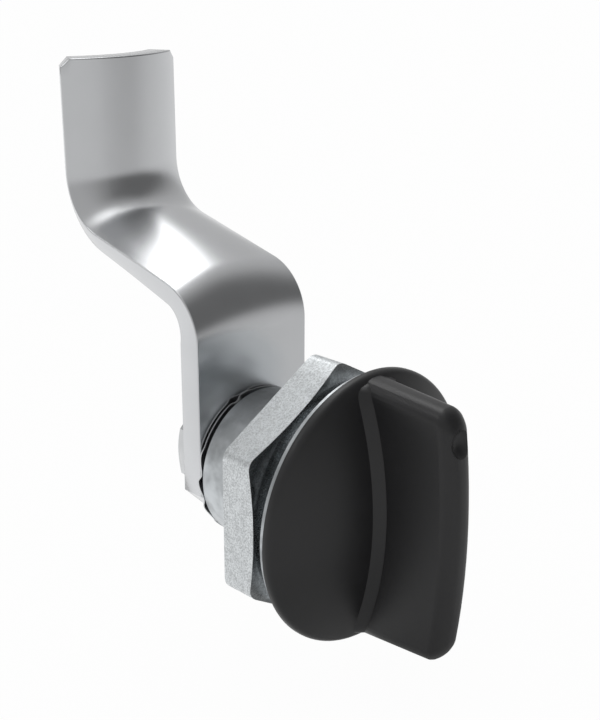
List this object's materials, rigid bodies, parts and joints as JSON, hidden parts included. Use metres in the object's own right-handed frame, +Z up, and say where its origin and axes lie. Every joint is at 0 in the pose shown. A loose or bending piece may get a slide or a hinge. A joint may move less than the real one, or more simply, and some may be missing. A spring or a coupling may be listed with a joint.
{
  "type": "quarter-turn cam latch",
  "caption": "Panel latch with a black wing knob that turns a cranked steel cam a quarter turn, clamped in a round hole by a large hexagon nut.",
  "frame": {"origin": "on the latch's turning axis at the back face of the flange, where it lies on the panel's front", "axes": "+X right as seen from the front, +Y through the panel towards the cam, +Z up along the cam's length with the latch in the pictured position"},
  "size_m": [0.031, 0.0566, 0.0606],
  "materials": {
    "die_cast": "die-cast metal with a blotchy dull plating",
    "galvanised_nut": "galvanised, finely speckled",
    "knob_plastic": "satin black moulded plastic",
    "plated_steel": "bright zinc plating",
    "spring_steel": "oiled spring steel",
    "cam_steel": "bright zinc plating, softly polished",
    "seal_rubber": "matte black rubber"
  },
  "bodies": {
    "body": {"housing": "die_cast", "flange_seal": "seal_rubber"},
    "nut": {"hex_nut": "galvanised_nut"},
    "rotor": {"wing_knob": "knob_plastic", "spindle": "plated_steel", "shaft_seal": "seal_rubber", "stop_washer": "plated_steel", "retaining_ring": "spring_steel", "spring_washer": "spring_steel", "cam": "cam_steel", "lock_washer": "plated_steel", "cam_screw": "plated_steel"}
  },
  "joints": [
    {"name": "quarter_turn", "type": "hinge", "parent": "body", "child": "rotor", "pos_m": [0, 0, 0], "axis": [0, -1, 0], "range_deg": [0, 90]},
    {"name": "nut_travel", "type": "slide", "parent": "body", "child": "nut", "axis": [0, 1, 0], "range_m": [-0.0019, 0.0018]}
  ]
}
